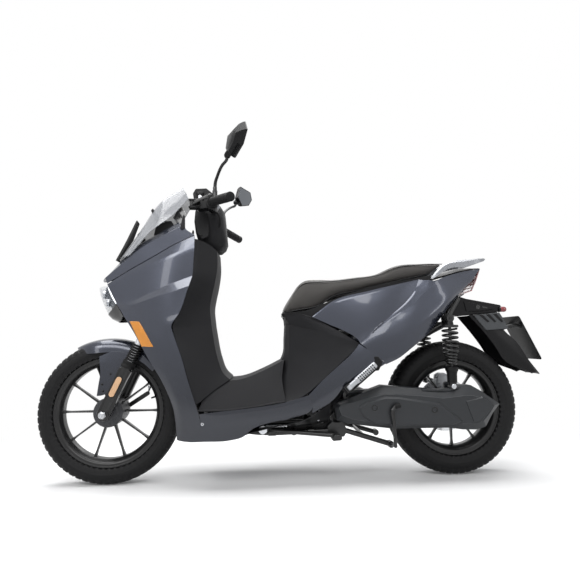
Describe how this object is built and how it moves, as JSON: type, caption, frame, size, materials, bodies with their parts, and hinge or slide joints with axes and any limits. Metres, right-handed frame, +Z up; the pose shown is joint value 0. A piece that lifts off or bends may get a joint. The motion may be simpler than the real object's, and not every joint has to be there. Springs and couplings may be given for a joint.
{
  "type": "moped scooter",
  "caption": "Electric step-through moped with telescopic fork, swing arm with twin spring shocks, belt drive, hinged seat, folding stands and swivelling mirrors.",
  "frame": {"origin": "on the ground under the middle of the scooter's box, midway between its left and right sides", "axes": "+X to the rear, +Y to the rider's right, +Z up"},
  "size_m": [2.0717, 0.8476, 1.3427],
  "materials": {
    "alloy": "satin",
    "amber_lens": "amber",
    "battery_case": "moulded",
    "belt_rubber": "ribbed",
    "black_plastic": "fine grain",
    "button_grey": "moulded",
    "button_red": "moulded",
    "case_grey": "satin grey",
    "clear_lens": "clear",
    "frame_black": "satin black",
    "gloss_black": "gloss",
    "mirror_glass": "silvered",
    "paint": "gunmetal metallic",
    "red_lens": "smoked red",
    "rim_black": "satin",
    "rubber": "matte",
    "seat_cover": "grained vinyl",
    "smoke_screen": "smoked",
    "steel": "brushed",
    "tyre": "matte"
  },
  "bodies": {
    "chassis": {"main_frame": "frame_black", "battery_pack": "battery_case", "front_panel_left": "paint", "front_panel_right": "paint", "nose_cowl": "paint", "headlight_housing": "gloss_black", "headlight_lens": "clear_lens", "turn_signals_front": "amber_lens", "windscreen": "smoke_screen", "display": "gloss_black", "leg_shield": "black_plastic", "floor_cover": "black_plastic", "seat_front_cover": "black_plastic", "sill_panels": "paint", "side_panel_left": "paint", "side_panel_right": "paint", "storage_bucket": "black_plastic", "grab_rail": "alloy", "tail_cover": "black_plastic", "tail_light": "red_lens", "rear_mudguard": "black_plastic", "plate_holder": "gloss_black"},
    "seat": {"seat_base": "black_plastic", "seat_cushion": "seat_cover"},
    "steering": {"steering_stem": "frame_black", "handlebar": "frame_black", "bar_cover": "black_plastic", "grip_left": "rubber", "control_housings": "black_plastic", "mirror_stalks": "frame_black", "fork_tubes": "steel"},
    "throttle": {"throttle_grip": "rubber"},
    "lever_left": {"brake_lever_left": "frame_black"},
    "lever_right": {"brake_lever_right": "frame_black"},
    "mirror_head_left": {"mirror_left": "gloss_black"},
    "mirror_head_right": {"mirror_right": "gloss_black"},
    "horn": {"horn_button": "button_grey"},
    "start": {"start_button": "button_red"},
    "fork_lower": {"fork_sliders": "frame_black", "front_fender": "paint", "front_axle": "steel"},
    "wheel_front": {"front_wheel": "rim_black", "front_tyre": "tyre"},
    "drum_arm": {"brake_arm": "steel"},
    "rear_arm": {"swing_arm": "case_grey", "drive_cover": "case_grey", "rear_caliper": "alloy", "drive_belt": "belt_rubber", "rear_axle": "steel"},
    "rotor": {"motor_rotor": "steel"},
    "wheel_rear": {"rear_wheel": "rim_black", "rear_tyre": "tyre", "rear_disc": "steel"},
    "shock_upper": {"shock_rods": "steel", "shock_springs": "frame_black"},
    "shock_lower": {"shock_bodies": "frame_black"},
    "stand_centre": {"centre_stand": "frame_black"},
    "stand_side": {"side_stand": "frame_black"},
    "footpeg_left": {"peg_left": "alloy"},
    "footpeg_right": {"peg_right": "alloy"}
  },
  "joints": [
    {"name": "steer", "type": "hinge", "parent": "chassis", "child": "steering", "pos_m": [-0.71057, 0, 0.283], "axis": [0.4226, 0, 0.9063], "range_deg": [-30, 30]},
    {"name": "fork_travel", "type": "slide", "parent": "steering", "child": "fork_lower", "axis": [0.4226, 0, 0.9063], "range_m": [0, 0.07], "stiffness_N_per_m": 16000, "springref_m": -0.03},
    {"name": "front_wheel_spin", "type": "hinge", "parent": "fork_lower", "child": "wheel_front", "pos_m": [-0.7525, 0, 0.283], "axis": [0, 1, 0], "continuous": true},
    {"name": "drum_arm_turn", "type": "hinge", "parent": "fork_lower", "child": "drum_arm", "pos_m": [-0.7065, 0, 0.292], "axis": [0, -1, 0], "range_deg": [0, 9]},
    {"name": "throttle_turn", "type": "hinge", "parent": "steering", "child": "throttle", "pos_m": [-0.3325, 0.22, 1.093], "axis": [0.5073, 0.8517, -0.1315], "range_deg": [-70, 0], "stiffness_Nm_per_rad": 0.25, "springref_deg": 8.59},
    {"name": "brake_lever_left_pull", "type": "hinge", "parent": "steering", "child": "lever_left", "pos_m": [-0.4065, -0.212, 1.088], "axis": [0, 0, 1], "range_deg": [0, 11], "stiffness_Nm_per_rad": 3, "springref_deg": -11.46},
    {"name": "brake_lever_right_pull", "type": "hinge", "parent": "steering", "child": "lever_right", "pos_m": [-0.4065, 0.212, 1.088], "axis": [0, 0, -1], "range_deg": [0, 11], "stiffness_Nm_per_rad": 3, "springref_deg": -11.46},
    {"name": "mirror_left_swivel", "type": "hinge", "parent": "steering", "child": "mirror_head_left", "pos_m": [-0.2645, -0.3, 1.248], "axis": [0, 0, 1], "range_deg": [-20, 20]},
    {"name": "mirror_right_swivel", "type": "hinge", "parent": "steering", "child": "mirror_head_right", "pos_m": [-0.2645, 0.3, 1.248], "axis": [0, 0, 1], "range_deg": [-20, 20]},
    {"name": "horn_press", "type": "slide", "parent": "steering", "child": "horn", "axis": [-1, 0, 0], "range_m": [0, 0.002], "stiffness_N_per_m": 900, "springref_m": -0.001},
    {"name": "start_press", "type": "slide", "parent": "steering", "child": "start", "axis": [-1, 0, 0], "range_m": [0, 0.002], "stiffness_N_per_m": 900, "springref_m": -0.001},
    {"name": "swing_travel", "type": "hinge", "parent": "chassis", "child": "rear_arm", "pos_m": [0.1775, 0, 0.3], "axis": [0, -1, 0], "range_deg": [0, 7], "stiffness_Nm_per_rad": 3600, "springref_deg": -5.16},
    {"name": "rear_wheel_spin", "type": "hinge", "parent": "rear_arm", "child": "wheel_rear", "pos_m": [0.6575, 0, 0.274], "axis": [0, 1, 0], "continuous": true},
    {"name": "motor_spin", "type": "hinge", "parent": "rear_arm", "child": "rotor", "pos_m": [0.2575, 0, 0.292], "axis": [0, 1, 0], "continuous": true},
    {"name": "shock_tilt", "type": "hinge", "parent": "chassis", "child": "shock_upper", "pos_m": [0.6115, 0, 0.64], "axis": [0, 1, 0], "range_deg": [0, 4]},
    {"name": "shock_travel", "type": "slide", "parent": "shock_upper", "child": "shock_lower", "axis": [0, 0, 1], "range_m": [0, 0.052], "deforming": ["shock_springs"]},
    {"name": "seat_open", "type": "hinge", "parent": "chassis", "child": "seat", "pos_m": [-0.0485, 0, 0.664], "axis": [0, -1, 0], "range_deg": [0, 70]},
    {"name": "centre_stand_drop", "type": "hinge", "parent": "chassis", "child": "stand_centre", "pos_m": [0.1525, 0, 0.214], "axis": [0, 1, 0], "range_deg": [0, 84], "stiffness_Nm_per_rad": 6, "springref_deg": -68.75},
    {"name": "side_stand_drop", "type": "hinge", "parent": "chassis", "child": "stand_side", "pos_m": [-0.1385, 0, 0.216], "axis": [0, 1, 0], "range_deg": [0, 120], "stiffness_Nm_per_rad": 3, "springref_deg": -68.75},
    {"name": "footpeg_left_fold", "type": "hinge", "parent": "chassis", "child": "footpeg_left", "pos_m": [0.1885, -0.211, 0.381], "axis": [0.6347, 0, -0.7727], "range_deg": [0, 90]},
    {"name": "footpeg_right_fold", "type": "hinge", "parent": "chassis", "child": "footpeg_right", "pos_m": [0.1885, 0.211, 0.381], "axis": [-0.6347, 0, 0.7727], "range_deg": [0, 90]}
  ],
  "couplings": [
    {"joint": "motor_spin", "follows": "rear_wheel_spin", "ratio": 2.4},
    {"joint": "drum_arm_turn", "follows": "brake_lever_right_pull", "ratio": 0.8},
    {"joint": "shock_tilt", "follows": "swing_travel", "ratio": 0.488},
    {"joint": "shock_travel", "follows": "swing_travel", "m_per_rad": 0.424}
  ]
}
